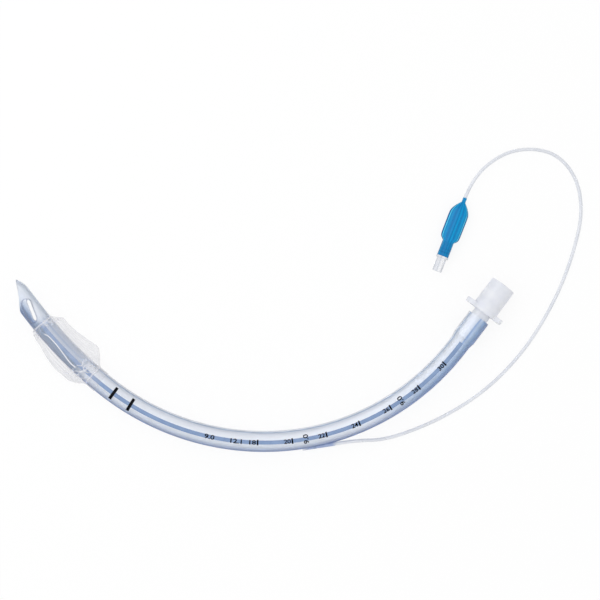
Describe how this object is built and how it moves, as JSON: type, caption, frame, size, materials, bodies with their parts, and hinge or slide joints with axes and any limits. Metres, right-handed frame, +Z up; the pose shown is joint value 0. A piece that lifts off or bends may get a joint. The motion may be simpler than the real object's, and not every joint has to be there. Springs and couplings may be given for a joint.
{
  "type": "cuffed endotracheal tube",
  "caption": "Curved clear airway tube with a slack cuff, hooked bevelled tip, side eyes, winged cone connector, inflation line, pilot balloon and spring check valve.",
  "frame": {"origin": "middle of the rest box on the table, without the inflation line, pilot balloon and valve", "axes": "+X from the patient end to the machine end, +Y to the inner side of the curve, +Z up from the table"},
  "size_m": [0.328, 0.1764, 0.0156],
  "materials": {
    "tube": "clear soft vinyl, extruded",
    "stripe": "filled blue vinyl, let into the wall",
    "ink": "black print",
    "film": "thin clear film, slack",
    "connector": "translucent moulded polypropylene",
    "line": "clear soft vinyl tube",
    "balloon": "translucent blue vinyl",
    "valve_clear": "clear moulded plastic",
    "poppet": "white moulded plastic",
    "seal": "black rubber",
    "spring": "drawn stainless wire"
  },
  "bodies": {
    "airway": {"airway_tube": "tube", "stripe": "stripe", "depth_marks": "ink", "cuff": "film", "connector": "connector", "line_bond": "line", "inflation_line": "line", "pilot_balloon": "balloon", "valve_body": "valve_clear", "valve_retainer": "poppet", "valve_spring": "spring"},
    "plunger": {"valve_poppet": "poppet", "valve_seal": "seal"}
  },
  "joints": [
    {"name": "valve_press", "type": "slide", "parent": "airway", "child": "plunger", "axis": [0.3616, 0.9323, 0], "range_m": [0, 0.0012], "stiffness_N_per_m": 150, "springref_m": -0.0012, "deforming": ["valve_spring"]}
  ]
}
